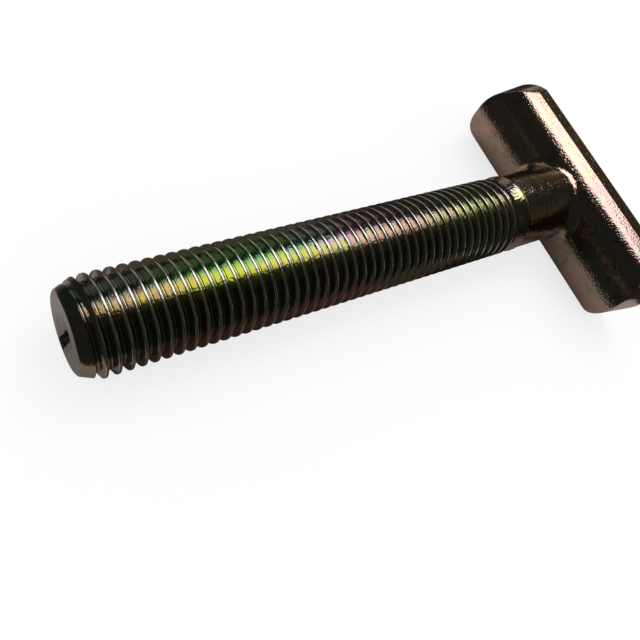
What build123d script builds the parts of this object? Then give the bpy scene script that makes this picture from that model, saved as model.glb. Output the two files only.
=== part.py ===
from build123d import *
import math
import os

# Hammer-head T bolt with an M16 x 2 thread, lying on a level surface as it comes to rest.
# Millimetres, +Z up. The shank's axis lies in the XZ plane with its tip towards +X, and the
# head bar runs along Y. The bolt is first built level on its own axis: X runs from the bar's
# flat back towards the tip, and Z is across the bar's two long flats.

# thread and tip
thread_diameter = 16.0
threaded_length = 91.4
tip_face_diameter = 13.1
tip_chamfer_length = 3.4
tip_edge_radius = 0.5

# shallow dish in the tip's face, and the narrow pit torn across it when the rod was cut
dish_diameter = 6.6
dish_depth = 0.25
pit_length = 7.0
pit_width = 2.2
pit_depth = 1.2
pit_floor_share = 0.15
pit_offset = 1.9

# plain neck between the thread and the head, swelling slightly where it meets the head
neck_diameter = 15.7
neck_length = 14.1
run_out_length = 0.6
neck_root_length = 3.0
neck_root_swell = 0.2
neck_fillet_radius = 2.6

# forged head bar; its ends taper towards the crown, two opposite corners are rounded so that
# it can turn in its slot, and the other two are squarer and stop it across the slot
bar_length = 59.0
bar_height = 20.0
bar_thickness = 10.0
flat_width = 3.2
end_taper = 9.0
turning_corner_radius = 10.5
stop_corner_radius = 7.0
flank_angle = 12.0
crown_radius = 28.0
shoulder_radius = 6.0
edge_radius = 0.4

overall_length = bar_thickness + neck_length + threaded_length
half_height = bar_height / 2
half_length = bar_length / 2
thread_radius = thread_diameter / 2
neck_radius = neck_diameter / 2


def bar_section():
    """Section of the bar: flat back, two parallel flats, leaning flanks and a rounded crown."""
    clear_of_crown = 1.0
    flank_end = bar_thickness + clear_of_crown
    flank_drop = (flank_end - flat_width) * math.tan(math.radians(flank_angle))
    with BuildSketch(Plane.XZ) as section:
        with BuildLine():
            Line((0, 0), (0, half_height))
            Line((0, half_height), (flat_width, half_height))
            Line((flat_width, half_height), (flank_end, half_height - flank_drop))
            Line((flank_end, half_height - flank_drop), (flank_end, 0))
            mirror(about=Plane.XZ)
        make_face()
        with Locations((bar_thickness - crown_radius, 0)):
            Circle(crown_radius, mode=Mode.INTERSECT)
        shoulders = section.vertices().sort_by(Axis.X)[-2:]
        fillet(shoulders, shoulder_radius)
    return section.sketch


def rounded_corner(radius, half_way):
    """Start and end of a corner's arc, from the long side round to the end of the bar."""
    rise = min(radius, half_height)
    setback = radius - math.sqrt(radius**2 - rise**2)
    return (half_way - setback, half_height), (half_way, half_height - rise)


def bar_outline(height):
    """The bar seen along the shank, at a height above its flat back."""
    half_way = half_length - height * math.tan(math.radians(end_taper))
    stop_start, stop_end = rounded_corner(stop_corner_radius, half_way)
    turn_start, turn_end = rounded_corner(turning_corner_radius, half_way)
    turn_start = (turn_start[0], -turn_start[1])
    turn_end = (turn_end[0], -turn_end[1])
    with BuildSketch(Plane.YZ.offset(height)) as outline:
        with BuildLine():
            for side in (1, -1):
                RadiusArc(side * Vector(*stop_start), side * Vector(*stop_end), stop_corner_radius)
                Line(side * Vector(*stop_end), side * Vector(*turn_end))
                RadiusArc(side * Vector(*turn_end), side * Vector(*turn_start), turning_corner_radius)
                Line(side * Vector(*turn_start), -side * Vector(*stop_start))
        make_face()
    return outline.sketch


def forged_bar():
    """The section run along Y, with its ends cut to the tapering outline and its edges eased."""
    clear_of_bar = 1.0
    below = bar_outline(-clear_of_bar)
    above = bar_outline(bar_thickness + clear_of_bar)
    run = extrude(bar_section(), amount=bar_length, both=True)
    ends = loft([below.face(), above.face()], ruled=True)
    bar = run & ends
    return fillet(bar.edges(), edge_radius)


def shank():
    """One turned profile: chamfered tip, thread at its crest size, run-out and plain neck."""
    thread_start = overall_length - tip_chamfer_length
    thread_end = overall_length - threaded_length
    root_start = bar_thickness + neck_root_length
    root_end_radius = neck_radius + neck_root_swell / 2
    with BuildPart() as body:
        with BuildSketch(Plane.XZ):
            with BuildLine():
                Polyline(
                    (flat_width, 0),
                    (flat_width, root_end_radius),
                    (root_start, neck_radius),
                    (thread_end - run_out_length, neck_radius),
                    (thread_end, thread_radius),
                    (thread_start, thread_radius),
                    (overall_length, tip_face_diameter / 2),
                    (overall_length, 0),
                    close=True,
                )
            make_face()
        revolve(axis=Axis.X)
        tip_edge = body.edges().filter_by(GeomType.CIRCLE).sort_by(Axis.X)[-1]
        fillet(tip_edge, tip_edge_radius)
    return body.part


def tip_dish():
    """Ball that leaves a shallow dish of the stated width and depth in the tip's face."""
    ball_radius = (dish_diameter**2 / 4 + dish_depth**2) / (2 * dish_depth)
    return Pos(overall_length + ball_radius - dish_depth, 0, 0) * Sphere(ball_radius)


def pit_corners(share):
    """A lopsided diamond, long across the bar's flats and narrow along the bar."""
    long_half = share * pit_length / 2
    narrow_half = share * pit_width / 2
    lean = narrow_half / 2
    return [(lean, long_half), (narrow_half, 0), (-lean, -long_half), (-narrow_half, 0)]


def tip_pit():
    """Diamond taper from just outside the tip's face down to a small floor."""
    clear_of_face = 1.0
    taper = (1 - pit_floor_share) / pit_depth
    face_plane = Plane((overall_length, 0, -pit_offset), x_dir=(0, 1, 0), z_dir=(1, 0, 0))
    with BuildPart() as pit:
        with BuildSketch(face_plane.offset(clear_of_face)):
            Polygon(*pit_corners(1 + clear_of_face * taper))
        with BuildSketch(face_plane.offset(-pit_depth)):
            Polygon(*pit_corners(pit_floor_share))
        loft()
    return pit.part


def meets_the_neck(edge):
    """True for the edges of the ring where the neck runs into the bar's crown."""
    box = edge.bounding_box()
    on_crown = 2 * flat_width < box.min.X and box.max.X < bar_thickness + edge_radius
    return on_crown and abs(edge.center().Y) < neck_radius + neck_root_swell


def whole_bolt():
    """The shank joined to the bar, with the ring between them blended by a fillet."""
    joined = forged_bar() + (shank() - tip_dish() - tip_pit())
    ring = [edge for edge in joined.edges() if meets_the_neck(edge)]
    return fillet(ring, neck_fillet_radius)


def at_rest(bolt):
    """Lays the bolt down so that the bar's lower flat and the thread's start touch Z = 0."""
    drop = half_height - thread_radius
    reach = overall_length - flat_width - tip_chamfer_length
    nose_down = math.degrees(math.atan2(drop, reach))
    lying = Rot(0, nose_down, 0) * bolt
    box = lying.bounding_box()
    return Pos(-box.center().X, -box.center().Y, -box.min.Z) * lying


t_bolt = at_rest(whole_bolt())
t_bolt.label = "t_bolt"
os.makedirs("parts", exist_ok=True)
export_step(t_bolt, "parts/t_bolt.step")
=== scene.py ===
import math
import bpy
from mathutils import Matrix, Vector


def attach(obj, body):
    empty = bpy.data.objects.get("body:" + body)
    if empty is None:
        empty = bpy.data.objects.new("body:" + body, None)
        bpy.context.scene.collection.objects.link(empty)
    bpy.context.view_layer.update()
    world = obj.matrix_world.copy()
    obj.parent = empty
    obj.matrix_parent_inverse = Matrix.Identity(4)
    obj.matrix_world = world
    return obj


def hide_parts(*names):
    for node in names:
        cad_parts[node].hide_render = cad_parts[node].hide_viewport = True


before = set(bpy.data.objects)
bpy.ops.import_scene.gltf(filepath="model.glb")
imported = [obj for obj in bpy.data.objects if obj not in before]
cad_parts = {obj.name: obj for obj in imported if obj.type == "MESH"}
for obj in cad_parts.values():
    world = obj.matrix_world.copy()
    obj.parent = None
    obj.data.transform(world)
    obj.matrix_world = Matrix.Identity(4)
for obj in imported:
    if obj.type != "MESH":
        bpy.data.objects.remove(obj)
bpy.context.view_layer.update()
mm = 0.001
slack = 0.01          # mm, how near its place a corner must lie to be picked
weld = 0.001 * mm     # corners nearer to each other than this become one


def linear(hexColour):
    channels = [int(hexColour[i:i + 2], 16) / 255 for i in (1, 3, 5)]
    return [c / 12.92 if c <= 0.04045 else ((c + 0.055) / 1.055) ** 2.4 for c in channels] + [1.0]


def makeActive(piece):
    if bpy.context.mode != "OBJECT":
        bpy.ops.object.mode_set(mode="OBJECT")
    bpy.ops.object.select_all(action="DESELECT")
    piece.select_set(True)
    bpy.context.view_layer.objects.active = piece


def editWhere(piece, test):
    # enters edit mode with only the vertices that pass the test selected, their place given in mm
    makeActive(piece)
    bpy.ops.object.mode_set(mode="EDIT")
    bpy.ops.mesh.select_mode(type="VERT")
    bpy.ops.mesh.select_all(action="DESELECT")
    bpy.ops.object.mode_set(mode="OBJECT")
    for v in piece.data.vertices:
        v.select = bool(test(v.co.x / mm, v.co.z / mm))
    bpy.ops.object.mode_set(mode="EDIT")


def applyModifier(piece, kind, **settings):
    makeActive(piece)
    modifier = piece.modifiers.new(kind.title(), kind)
    for key, value in settings.items():
        setattr(modifier, key, value)
    bpy.ops.object.modifier_apply(modifier=modifier.name)


def combine(piece, other, operation):
    applyModifier(piece, "BOOLEAN", object=other, operation=operation, solver="MANIFOLD")
    bpy.data.objects.remove(other)


def plate(name, corners):
    # a flat plate whose corners are given as X, Y and Z in mm
    bpy.ops.mesh.primitive_circle_add(vertices=len(corners), radius=mm, fill_type="NGON")
    piece = bpy.context.object
    piece.name = name
    for v, corner in zip(piece.data.vertices, corners):
        v.co = [c * mm for c in corner]
    return piece


def section(name, corners):
    # half a lengthways section, its corners given in mm as distance along the axis and radius
    return plate(name, [(x, 0, radius) for x, radius in corners])


def roundCorners(piece, test, width, segments):
    editWhere(piece, test)
    bpy.ops.mesh.bevel(offset_type="OFFSET", offset=width * mm, segments=segments, affect="VERTICES")


def turn(piece, steps):
    # turns a section whose lower edge lies on the axis into a closed solid
    makeActive(piece)
    bpy.ops.object.mode_set(mode="EDIT")
    bpy.ops.mesh.select_all(action="SELECT")
    bpy.ops.mesh.delete(type="ONLY_FACE")
    editWhere(piece, lambda x, z: z < slack)
    bpy.ops.mesh.delete(type="EDGE")
    bpy.ops.mesh.select_all(action="SELECT")
    bpy.ops.mesh.spin(steps=steps, angle=math.tau, center=(0, 0, 0), axis=(1, 0, 0))
    bpy.ops.mesh.select_all(action="SELECT")
    bpy.ops.mesh.remove_doubles(threshold=weld)
    bpy.ops.mesh.normals_make_consistent(inside=False)
    bpy.ops.object.mode_set(mode="OBJECT")


# the bolt is modelled level, X from the head's flat back to the tip, and then laid down as it rests
bolt = {
    "length": 115.5,                          # mm
    "noseDown": 1.05215,                      # degrees that the tip lies lower than the head
    "backCentre": (-57.7092, 0.0, 10.0571),   # mm, where the axis leaves the head's back, in the CAD frame
    "headEnd": 23.7,                          # mm from the back, where the forged head is cut from the solid model
    "turningSteps": 144,
    "smoothAngle": 21.5,                      # degrees, below which neighbouring faces look like one
}


def level(piece):
    # takes a piece from its rest on the floor back to the level bolt's own axes
    makeActive(piece)
    piece.location = -Vector(bolt["backCentre"]) * mm
    bpy.ops.object.transform_apply(location=True, rotation=True, scale=True)
    piece.rotation_euler = (0, -math.radians(bolt["noseDown"]), 0)
    bpy.ops.object.transform_apply(location=True, rotation=True, scale=True)


def layDown(piece):
    makeActive(piece)
    piece.rotation_euler = (0, math.radians(bolt["noseDown"]), 0)
    piece.location = Vector(bolt["backCentre"]) * mm
    bpy.ops.object.transform_apply(location=True, rotation=True, scale=True)


# rolled M16 x 2 thread, its crests and roots rounded, in mm and degrees
thread = {
    "pitch": 2.0,
    "crestRadius": 8.0,
    "rootRadius": 6.9,
    "rootFlat": 0.31,
    "flankAngle": 30.0,
    "crestRounding": 0.1,
    "rootRounding": 0.12,
    "roundingSteps": 3,
    "firstCrest": 20.478,     # from the head's back; the turns beyond the run-out and the tip are cut away
    "turns": 49,
    "stepsPerTurn": 72,
}


def makeThread():
    half = thread["pitch"] / 2
    crest, root, start = thread["crestRadius"], thread["rootRadius"], thread["firstCrest"]
    rootEdge = half - thread["rootFlat"] / 2
    crestEdge = rootEdge - (crest - root) * math.tan(math.radians(thread["flankAngle"]))
    piece = section("thread", [(start - half, root), (start - rootEdge, root), (start - crestEdge, crest),
                               (start + crestEdge, crest), (start + rootEdge, root), (start + half, root)])
    roundCorners(piece, lambda x, z: z > crest - slack, thread["crestRounding"], thread["roundingSteps"])
    roundCorners(piece, lambda x, z: z < root + slack and abs(x - start) < half - slack,
                 thread["rootRounding"], thread["roundingSteps"])
    bpy.ops.mesh.select_all(action="SELECT")
    bpy.ops.mesh.delete(type="ONLY_FACE")
    editWhere(piece, lambda x, z: abs(x - start) > half - slack)
    bpy.ops.mesh.delete(type="EDGE")
    applyModifier(piece, "SCREW", axis="X", angle=math.tau, screw_offset=thread["pitch"] * mm,
                  iterations=thread["turns"], steps=thread["stepsPerTurn"], render_steps=thread["stepsPerTurn"],
                  use_merge_vertices=True, merge_threshold=weld)
    # neighbouring turns are welded, and each open end is closed by a fan to its middle
    bpy.ops.object.mode_set(mode="EDIT")
    bpy.ops.mesh.select_all(action="SELECT")
    bpy.ops.mesh.remove_doubles(threshold=weld)
    bpy.ops.mesh.select_all(action="DESELECT")
    bpy.ops.mesh.select_non_manifold()
    bpy.ops.object.mode_set(mode="OBJECT")
    openEdge = {v.index for v in piece.data.vertices if v.select}
    middle = start + thread["pitch"] * thread["turns"] / 2
    for side in (-1, 1):
        editWhere(piece, lambda x, z: False)
        bpy.ops.object.mode_set(mode="OBJECT")
        for v in piece.data.vertices:
            v.select = v.index in openEdge and (v.co.x / mm - middle) * side > 0
        bpy.ops.object.mode_set(mode="EDIT")
        bpy.ops.mesh.extrude_edges_move()
        bpy.ops.mesh.merge(type="CENTER")
    bpy.ops.mesh.select_all(action="SELECT")
    bpy.ops.mesh.normals_make_consistent(inside=False)
    bpy.ops.object.mode_set(mode="OBJECT")
    return piece


# what the thread is trimmed to: its run-out near the neck, and the tip's chamfer, rounded rim and shallow dish
blank = {
    "radius": 8.03,
    "threadEnd": 25.7,        # mm from the head's back, where the ridges begin
    "threadEndRadius": 7.1,
    "threadFull": 27.4,       # mm from the head's back, where they have their full height
    "chamferLength": 3.4,
    "faceRadius": 6.55,
    "rimRounding": 0.5,
    "rimSteps": 4,
    "dish": ((3.45, 0.0), (3.15, 0.1), (1.65, 0.2125), (0.0, 0.25)),   # radius and depth, from its edge inwards
}


def makeBlank():
    tip = bolt["length"]
    corners = [(blank["threadEnd"], 0), (blank["threadEnd"], blank["threadEndRadius"]),
               (blank["threadFull"], blank["radius"]), (tip - blank["chamferLength"], blank["radius"]),
               (tip, blank["faceRadius"])]
    corners += [(tip - depth, radius) for radius, depth in blank["dish"]]
    piece = section("blank", corners)
    roundCorners(piece, lambda x, z: x > tip - slack and z > blank["faceRadius"] - slack,
                 blank["rimRounding"], blank["rimSteps"])
    turn(piece, bolt["turningSteps"])
    return piece


# the lopsided pit in the tip's face
pit = {
    "middle": -1.9,           # mm above the axis
    "corners": ((0.5, 4.6), (2.0, 3.4), (0.1, -3.7), (-1.9, -3.4)),   # mm across and up from the middle
    "depth": 1.2,
    "floorShare": 0.65,       # size of its floor against its mouth
    "clearance": 0.1,         # mm that the cutter stands out of the face
}


def makePit():
    top = bolt["length"] + pit["clearance"]
    piece = plate("pit", [(top, y, pit["middle"] + z) for y, z in pit["corners"]])
    makeActive(piece)
    bpy.ops.object.mode_set(mode="EDIT")
    bpy.ops.mesh.select_all(action="SELECT")
    drop = (pit["depth"] + pit["clearance"]) * mm
    bpy.ops.mesh.extrude_region_move(TRANSFORM_OT_translate={"value": (-drop, 0, 0)})
    bpy.ops.transform.resize(value=(1, pit["floorShare"], pit["floorShare"]),
                             center_override=(top * mm, 0, pit["middle"] * mm))
    bpy.ops.mesh.select_all(action="SELECT")
    bpy.ops.mesh.normals_make_consistent(inside=False)
    bpy.ops.object.mode_set(mode="OBJECT")
    return piece


# the solid inside the ridges: it joins the neck, steps up to a collar, ramps down and runs on under the roots
core = {
    "start": 21.0,            # mm from the head's back, inside the neck
    "startRadius": 7.4,
    "riseStart": 22.9,        # rises to the neck's own radius, still under its skin
    "riseEnd": 23.4,
    "neckRadius": 7.85,
    "step": 23.8,             # the collar's step and its two edges
    "stepLength": 0.06,
    "stepRadius": 8.01,
    "collarEnd": 24.3,
    "collarRadius": 8.03,
    "rampEnd": 27.3,
    "rampRadius": 7.2,
    "rootStart": 28.8,
    "rootRadius": 6.5,
    "end": 110.0,
}


def makeCore():
    piece = section("core", [(core["start"], 0), (core["start"], core["startRadius"]),
                             (core["riseStart"], core["startRadius"]), (core["riseEnd"], core["neckRadius"]),
                             (core["step"], core["neckRadius"]),
                             (core["step"] + core["stepLength"], core["stepRadius"]),
                             (core["collarEnd"], core["collarRadius"]), (core["rampEnd"], core["rampRadius"]),
                             (core["rootStart"], core["rootRadius"]), (core["end"], core["rootRadius"]),
                             (core["end"], 0)])
    turn(piece, bolt["turningSteps"])
    return piece


def makeHead():
    # the forged head and neck, taken from a merged copy of the solid model
    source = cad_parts["t_bolt"]
    piece = source.copy()
    piece.data = source.data.copy()
    bpy.context.scene.collection.objects.link(piece)
    piece.parent = None
    piece.rotation_mode = "XYZ"
    for key in list(piece.keys()):
        del piece[key]
    piece.name = "head"
    level(piece)
    makeActive(piece)
    bpy.ops.object.mode_set(mode="EDIT")
    bpy.ops.mesh.select_all(action="SELECT")
    bpy.ops.mesh.remove_doubles(threshold=weld)
    bpy.ops.mesh.select_all(action="SELECT")
    bpy.ops.mesh.bisect(plane_co=(bolt["headEnd"] * mm, 0, 0), plane_no=(1, 0, 0), use_fill=True, clear_outer=True)
    bpy.ops.object.mode_set(mode="OBJECT")
    return piece


shank = makeThread()
combine(shank, makeBlank(), "INTERSECT")
print("thread rolled")
combine(shank, makeCore(), "UNION")
combine(shank, makePit(), "DIFFERENCE")
print("run-out and tip done")
combine(shank, makeHead(), "UNION")
shank.name = "boltBody"
layDown(shank)
makeActive(shank)
bpy.ops.object.shade_smooth_by_angle(angle=math.radians(bolt["smoothAngle"]))
applyModifier(shank, "WEIGHTED_NORMAL", mode="FACE_AREA", keep_sharp=True)
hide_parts("t_bolt")
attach(shank, "root")
print("bolt modelled", sum(len(p.vertices) - 2 for p in shank.data.polygons), "triangles")


def addNode(tree, kind, links=None, **settings):
    node = tree.nodes.new(kind)
    for key, value in settings.items():
        setattr(node, key, value)
    for socket, source in (links or {}).items():
        if isinstance(source, bpy.types.NodeSocket):
            tree.links.new(source, node.inputs[socket])
        else:
            node.inputs[socket].default_value = source
    return node


# steel, zinc plated and yellow passivated: a thin clear film over bright metal, whose thickness wanders, so that
# the eye sees warm pink on the forging, olive, straw and green in the thread, all on a dark mirror
# the film on the +Y side is drawn darker than on the rest of the bolt, as painted shade
plating = {
    "patchSize": 5.0,        # mm across one patch of film colour
    "patchSpread": 0.34,     # share of the bolt's length that the patches shift the colour by
    "speckleSize": 1.2,      # mm, small spots inside the patches
    "speckleSpread": 0.14,
    "streakSize": 1.3,       # mm, forging streaks along the bar, drawn coarser than the real ones so that they show
    "streakSquash": 0.15,    # how much slower they change along the bar than across it
    "grainSize": 0.45,       # mm, zinc grain, drawn coarser than the real one so that it shows
    "forgedRoughness": 0.06,
    "rolledRoughness": 0.08,
    "crestRoughness": 0.2,
    "roughnessSpread": 0.12,
    "forgedGrainDepth": 0.06,    # mm
    "rolledGrainDepth": 0.03,    # mm
    "streakDepth": 0.03,     # mm
    "rollingStart": 26.3,    # mm from the head's back, where the forged skin gives way to the rolled thread
    "rollingFull": 26.9,
    "crestStart": 7.88,      # mm from the axis, where the crests' worn, paler metal begins
    "crestFull": 7.97,
    "crest": "#d9dcd4",
    "crestShare": 0.85,
    # the pit's dark colour is painted shade in the recess
    "pitPaintedShade": "#2b2c28",
    "pitFrom": 2.5,          # mm behind the tip's face, between which the pit is painted dark, as painted shade in the recess
    "pitTo": 0.3,
    "pitReach": 5.85,        # mm from the axis
    # film colours from the head's back (0) to the tip (1), on the -Y side, along the top and on the +Y side; the +Y
    # side's colours are drawn darker, as painted shade
    "farFilm": ((0.0, "#cfb196"), (0.05, "#c9aaa0"), (0.1, "#b8aa9a"), (0.15, "#a98f7c"), (0.195, "#cfc4c6"),
                (0.235, "#cfbfbf"), (0.27, "#b9bf8c"), (0.36, "#b6bf94"), (0.46, "#c8b0b4"), (0.55, "#cbadb8"),
                (0.62, "#b6c3c2"), (0.7, "#98bf98"), (0.82, "#95bb88"), (0.92, "#a5b0a4"), (0.97, "#93a09a"),
                (1.0, "#a8a09c")),
    "topFilm": ((0.0, "#cdb08f"), (0.05, "#c6a29c"), (0.1, "#b0ac98"), (0.15, "#a5836f"), (0.195, "#d6c0bc"),
                (0.235, "#d2b6ae"), (0.27, "#b9b984"), (0.36, "#c3c08c"), (0.46, "#cdb6a6"), (0.54, "#cfb8a8"),
                (0.6, "#c9c39a"), (0.7, "#c9c685"), (0.8, "#c2c877"), (0.88, "#c6bb86"), (0.94, "#c2b098"),
                (1.0, "#a8988f")),
    "nearFilmPaintedShade": ((0.0, "#b9a494"), (0.05, "#c59c9c"), (0.1, "#a4ab94"), (0.15, "#9d7f6f"), (0.21, "#b39a90"),
                 (0.3, "#a2aa84"), (0.42, "#a1948a"), (0.52, "#929f80"), (0.62, "#a38f88"), (0.72, "#8f9b80"),
                 (0.82, "#9b877c"), (0.9, "#8c9882"), (1.0, "#a39a84")),
    "wander": 4.0,           # mm that the borders between them wander
    "topBorder": (0.8, 2.4),     # mm in Y, with the wander added
    "paintedShadeBorder": (4.2, 6.0),
}


def makePlating():
    material = bpy.data.materials.new("yellowPassivatedZinc")
    material.use_nodes = True
    tree = material.node_tree
    shader = tree.nodes["Principled BSDF"]
    place = addNode(tree, "ShaderNodeTexCoord").outputs["Object"]
    # the bolt's own axes: X from the head's back along the shank
    own = addNode(tree, "ShaderNodeMapping", {"Vector": place, "Location": [c * mm for c in bolt["backCentre"]],
                                              "Rotation": (0, math.radians(bolt["noseDown"]), 0)},
                  vector_type="TEXTURE").outputs["Vector"]
    parts = addNode(tree, "ShaderNodeSeparateXYZ", {"Vector": own})
    across = addNode(tree, "ShaderNodeCombineXYZ", {"X": 0.0, "Y": parts.outputs["Y"], "Z": parts.outputs["Z"]})
    radius = addNode(tree, "ShaderNodeVectorMath", {0: across.outputs["Vector"]}, operation="LENGTH").outputs["Value"]
    onThread = addNode(tree, "ShaderNodeMapRange", {"Value": parts.outputs["X"],
                                                    "From Min": plating["rollingStart"] * mm,
                                                    "From Max": plating["rollingFull"] * mm}).outputs["Result"]
    worn = addNode(tree, "ShaderNodeMapRange", {"Value": radius, "From Min": plating["crestStart"] * mm,
                                                "From Max": plating["crestFull"] * mm,
                                                "To Max": plating["crestShare"]}).outputs["Result"]
    onCrest = addNode(tree, "ShaderNodeMath", {0: worn, 1: onThread}, operation="MULTIPLY").outputs["Value"]

    # how far along the film's colours each point is, shifted by patches and speckles
    patches = addNode(tree, "ShaderNodeTexNoise", {"Vector": own, "Scale": 1 / (plating["patchSize"] * mm),
                                                   "Detail": 3.0, "Roughness": 0.5, "Distortion": 0.8})
    shift = addNode(tree, "ShaderNodeMapRange", {"Value": patches.outputs["Fac"],
                                                 "To Min": -plating["patchSpread"] / 2,
                                                 "To Max": plating["patchSpread"] / 2}).outputs["Result"]
    along = addNode(tree, "ShaderNodeMath", {0: parts.outputs["X"], 1: 1 / (bolt["length"] * mm), 2: shift},
                    operation="MULTIPLY_ADD").outputs["Value"]
    speckle = addNode(tree, "ShaderNodeTexNoise", {"Vector": own, "Scale": 1 / (plating["speckleSize"] * mm),
                                                   "Detail": 1.0, "Roughness": 0.5})
    along = addNode(tree, "ShaderNodeMath", {0: speckle.outputs["Fac"], 1: plating["speckleSpread"], 2: along},
                    operation="MULTIPLY_ADD").outputs["Value"]
    along = addNode(tree, "ShaderNodeMath", {0: along, 1: plating["speckleSpread"] / 2},
                    operation="SUBTRACT").outputs["Value"]
    films = []
    for side in ("farFilm", "topFilm", "nearFilmPaintedShade"):
        ramp = addNode(tree, "ShaderNodeValToRGB", {"Fac": along})
        stops = ramp.color_ramp.elements
        stops.remove(stops[-1])
        stops[0].color = linear(plating[side][0][1])
        for share, colour in plating[side][1:]:
            stops.new(share).color = linear(colour)
        films.append(ramp.outputs["Color"])
    wander = addNode(tree, "ShaderNodeMath", {0: patches.outputs["Fac"], 1: plating["wander"] * mm,
                                              2: parts.outputs["Y"]}, operation="MULTIPLY_ADD").outputs["Value"]

    # sockets 6 and 7 of a colour mix are its two colours
    colour = films[0]
    # the -Y film gives way to the top film and then to the +Y film, which is drawn darker as painted shade
    for film, border in zip(films[1:], (plating["topBorder"], plating["paintedShadeBorder"])):
        crossed = addNode(tree, "ShaderNodeMapRange", {"Value": wander, "From Min": border[0] * mm,
                                                       "From Max": border[1] * mm}).outputs["Result"]
        colour = addNode(tree, "ShaderNodeMix", {"Factor": crossed, 6: colour, 7: film}, data_type="RGBA").outputs[2]
    colour = addNode(tree, "ShaderNodeMix", {"Factor": onCrest, 6: colour, 7: linear(plating["crest"])},
                     data_type="RGBA").outputs[2]
    # the pit's walls and floor are painted dark: painted shade in the recess
    nearTip = addNode(tree, "ShaderNodeMapRange", {"Value": parts.outputs["X"],
                                                   "From Min": (bolt["length"] - plating["pitFrom"]) * mm,
                                                   "From Max": (bolt["length"] - plating["pitFrom"] + 0.1) * mm})
    deep = addNode(tree, "ShaderNodeMapRange", {"Value": parts.outputs["X"],
                                                "From Min": (bolt["length"] - plating["pitTo"]) * mm,
                                                "From Max": (bolt["length"] - plating["pitTo"] + 0.04) * mm,
                                                "To Min": 1.0, "To Max": 0.0})
    inner = addNode(tree, "ShaderNodeMapRange", {"Value": radius, "From Min": plating["pitReach"] * mm,
                                                 "From Max": (plating["pitReach"] + 0.1) * mm,
                                                 "To Min": 1.0, "To Max": 0.0})
    pitShadeMask = nearTip.outputs["Result"]
    for other in (deep, inner):
        pitShadeMask = addNode(tree, "ShaderNodeMath", {0: pitShadeMask, 1: other.outputs["Result"]},
                        operation="MULTIPLY").outputs["Value"]
    colour = addNode(tree, "ShaderNodeMix", {"Factor": pitShadeMask, 6: colour, 7: linear(plating["pitPaintedShade"])},
                     data_type="RGBA").outputs[2]

    # forging streaks along the bar, and zinc grain, finer on the rolled thread
    stretched = addNode(tree, "ShaderNodeMapping", {"Vector": own, "Scale": (1.0, plating["streakSquash"], 1.0)})
    streaks = addNode(tree, "ShaderNodeTexNoise", {"Vector": stretched.outputs["Vector"],
                                                   "Scale": 1 / (plating["streakSize"] * mm), "Detail": 4.0,
                                                   "Roughness": 0.6})
    grain = addNode(tree, "ShaderNodeTexNoise", {"Vector": own, "Scale": 1 / (plating["grainSize"] * mm),
                                                 "Detail": 1.0, "Roughness": 0.5})
    streakBump = addNode(tree, "ShaderNodeBump", {"Height": streaks.outputs["Fac"], "Strength": 1.0,
                                                  "Distance": plating["streakDepth"] * mm})
    grainDepth = addNode(tree, "ShaderNodeMapRange", {"Value": onThread,
                                                      "To Min": plating["forgedGrainDepth"] * mm,
                                                      "To Max": plating["rolledGrainDepth"] * mm}).outputs["Result"]
    grainBump = addNode(tree, "ShaderNodeBump", {"Height": grain.outputs["Fac"], "Strength": 1.0,
                                                 "Distance": grainDepth, "Normal": streakBump.outputs["Normal"]})
    rough = addNode(tree, "ShaderNodeMapRange", {"Value": onThread, "To Min": plating["forgedRoughness"],
                                                 "To Max": plating["rolledRoughness"]}).outputs["Result"]
    rough = addNode(tree, "ShaderNodeMath", {0: onCrest, 1: plating["crestRoughness"] - plating["rolledRoughness"],
                                             2: rough}, operation="MULTIPLY_ADD").outputs["Value"]
    rough = addNode(tree, "ShaderNodeMath", {0: streaks.outputs["Fac"], 1: plating["roughnessSpread"],
                                             2: rough}, operation="MULTIPLY_ADD").outputs["Value"]
    tree.links.new(colour, shader.inputs["Base Color"])
    tree.links.new(rough, shader.inputs["Roughness"])
    tree.links.new(grainBump.outputs["Normal"], shader.inputs["Normal"])
    shader.inputs["Metallic"].default_value = 1.0
    return material


shank.data.materials.clear()
shank.data.materials.append(makePlating())
print("plating made")

# the bolt lies on white paper, between cards and in a dark tent that show only as reflections in its metal
studio = {
    "paper": "#fbfbfb",
    "paperSize": 1.6,            # m, radius
    "paperGlow": 0.75,           # share of the paper that shows white whatever falls on it
    "room": "#f0f0f0",
    "roomStrength": 1.0,
    "key": (-0.36, -0.30, 0.88),     # the way to the softbox
    "keySize": 0.42,             # m
    "keyDistance": 0.7,          # m
    "keyPower": 1.3,             # W
    "darkCard": "#2a2c29",
    "darkSheetSize": 1.5,        # m, radius
    "headCard": "#a89f98",       # grey, lying round the head
    "headCardReach": 11.0,       # mm beyond the head's bar
    "shankCard": "#5e4c46",      # brown, lying round the outer half of the shank
    "shankCardStart": 52.0,      # mm from the head's back
    "shankCardReach": 12.0,      # mm beyond the shank and the tip
    "farCardStart": 78.0,        # mm from the head's back, where it widens on the far side
    "farCardReach": 40.0,        # mm
    "tipCard": "#a09896",        # pale, lying before the tip
    "tipCardStart": 3.0,         # mm behind the tip's face
    "cardsSize": 0.36,           # m, the square that the lying cards fill
    "cardsSteps": 120,
    "tentRadius": 1.2,           # m
    # standing cards: X and Y, lower edge, upper edge and length in m, the axis they face, and their colour
    "standing": {
        "stripCard": (-0.45, 0.0, 0.012, 0.042, 0.9, "X", "#f0e6e0"),    # low behind the head
        "backCard": (-0.46, 0.0, 0.0, 0.28, 0.9, "X", "#504a38"),        # high behind the head
        "farCard": (-0.4, -0.45, 0.0, 0.28, 1.0, "Y", "#8a8075"),        # on the far side
    },
}


def plainMaterial(name, colour, roughness=0.95):
    material = bpy.data.materials.new(name)
    material.use_nodes = True
    shader = material.node_tree.nodes["Principled BSDF"]
    shader.inputs["Base Color"].default_value = linear(colour)
    shader.inputs["Roughness"].default_value = roughness
    shader.inputs["Specular IOR Level"].default_value = 0.0
    return material


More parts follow.
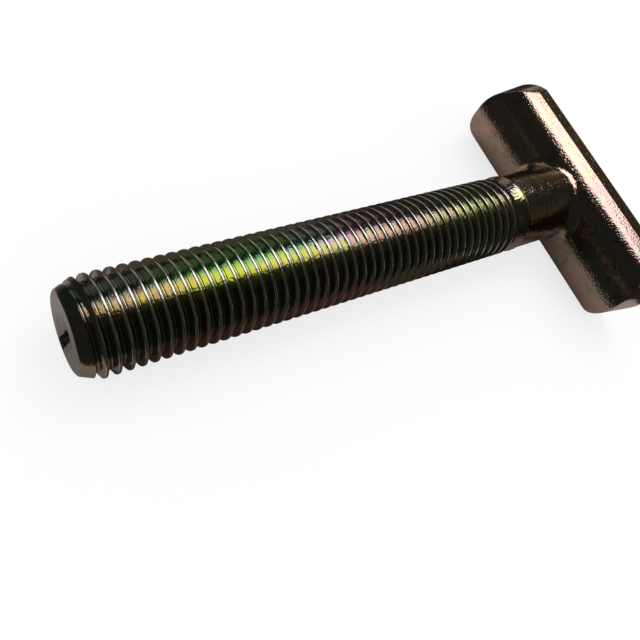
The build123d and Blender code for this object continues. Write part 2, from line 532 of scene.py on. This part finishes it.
# white paper: matt, and partly glowing for whoever looks at it, so that it stays white and still takes the shadow
bpy.ops.mesh.primitive_circle_add(vertices=96, radius=studio["paperSize"], fill_type="NGON")
floor = bpy.context.object
floor.name = "floor"
paper = plainMaterial("whitePaper", studio["paper"], 0.9)
tree = paper.node_tree
rays = addNode(tree, "ShaderNodeLightPath")
seen = addNode(tree, "ShaderNodeMath", {0: rays.outputs["Is Camera Ray"], 1: rays.outputs["Is Glossy Ray"]})
seen = addNode(tree, "ShaderNodeMath", {0: seen.outputs["Value"], 1: rays.outputs["Is Transmission Ray"]})
share = addNode(tree, "ShaderNodeMath", {0: seen.outputs["Value"], 1: studio["paperGlow"]}, operation="MULTIPLY")
glow = addNode(tree, "ShaderNodeEmission", {"Color": (1, 1, 1, 1), "Strength": 1.0})
mixed = addNode(tree, "ShaderNodeMixShader", {0: share.outputs["Value"],
                                              1: tree.nodes["Principled BSDF"].outputs["BSDF"],
                                              2: glow.outputs["Emission"]})
tree.links.new(mixed.outputs["Shader"], tree.nodes["Material Output"].inputs["Surface"])
floor.data.materials.append(paper)


def seenInMetalOnly(card, name, *materials):
    card.name = name
    for material in materials:
        card.data.materials.append(material)
    card.visible_camera = card.visible_diffuse = card.visible_shadow = card.visible_transmission = False


# matt card: it gives the metal its soft grey, brown and dark zones; each lies or stands just clear of what it covers
bpy.ops.mesh.primitive_circle_add(vertices=64, radius=studio["darkSheetSize"], fill_type="NGON",
                                  location=(0, 0, 0.01 * mm))
seenInMetalOnly(bpy.context.object, "darkSheet", plainMaterial("darkPaper", studio["darkCard"]))
bpy.ops.mesh.primitive_grid_add(x_subdivisions=studio["cardsSteps"], y_subdivisions=studio["cardsSteps"],
                                size=studio["cardsSize"], location=(0, 0, 0.03 * mm))
cards = bpy.context.object
backX, tipX = bolt["backCentre"][0], bolt["backCentre"][0] + bolt["length"]
barThickness, barHalfLength, shankRadius = 10, 29.5, 8
for face in cards.data.polygons:
    x, y = face.center.x / mm, face.center.y / mm
    byBar = (backX - studio["headCardReach"] < x < backX + barThickness + studio["headCardReach"]
             and abs(y) < barHalfLength + studio["headCardReach"])
    beforeTip = x < tipX + studio["shankCardReach"]
    byShank = (backX + studio["shankCardStart"] < x and beforeTip
               and abs(y) < shankRadius + studio["shankCardReach"])
    farSide = (backX + studio["farCardStart"] < x and beforeTip
               and -shankRadius - studio["farCardReach"] < y < 0)
    byTip = x > tipX - studio["tipCardStart"] and byShank
    face.material_index = 1 if byBar else 3 if byTip else 2 if byShank or farSide else 0
seenInMetalOnly(cards, "cards", plainMaterial("darkCard", studio["darkCard"]),
                plainMaterial("greyCard", studio["headCard"]),
                plainMaterial("brownCard", studio["shankCard"]),
                plainMaterial("paleCard", studio["tipCard"]))
for name, (x, y, low, high, length, facing, colour) in studio["standing"].items():
    turned = (0, math.radians(90), 0) if facing == "X" else (math.radians(90), 0, 0)
    bpy.ops.mesh.primitive_plane_add(size=1.0, location=(x, y, (low + high) / 2), rotation=turned)
    card = bpy.context.object
    card.scale = (high - low, length, 1) if facing == "X" else (length, high - low, 1)
    seenInMetalOnly(card, name, plainMaterial(name, colour))
bpy.ops.mesh.primitive_uv_sphere_add(segments=32, ring_count=16, radius=studio["tentRadius"])
seenInMetalOnly(bpy.context.object, "darkTent", plainMaterial("blackCloth", studio["darkCard"], 1.0))

# one large softbox, in a pale room
bpy.ops.object.light_add(type="AREA")
softbox = bpy.context.object
softbox.name = "keySoftbox"
softbox.location = Vector(studio["key"]).normalized() * studio["keyDistance"]
softbox.rotation_euler = softbox.location.to_track_quat("Z", "Y").to_euler()
softbox.data.size = studio["keySize"]
softbox.data.energy = studio["keyPower"]
world = bpy.data.worlds.new("studio")
bpy.context.scene.world = world
world.use_nodes = True
background = world.node_tree.nodes["Background"]
background.inputs["Color"].default_value = linear(studio["room"])
background.inputs["Strength"].default_value = studio["roomStrength"]

camera = {
    "place": (76.26, 40.33, 101.73),              # mm
    "turned": (28.4008, -21.6731, 151.7786),      # degrees
    "lens": 37.45,                                # mm
    "sensorWidth": 36.0,                          # mm
    "nearest": 5.0,                               # mm, what lies nearer isn't drawn
}
bpy.ops.object.camera_add(location=[c * mm for c in camera["place"]],
                          rotation=[math.radians(a) for a in camera["turned"]])
bpy.context.scene.camera = bpy.context.object
optics = bpy.context.object.data
optics.lens = camera["lens"]
optics.sensor_width = camera["sensorWidth"]
optics.clip_start = camera["nearest"] * mm
bpy.context.scene.view_settings.view_transform = "Standard"
print("studio set")
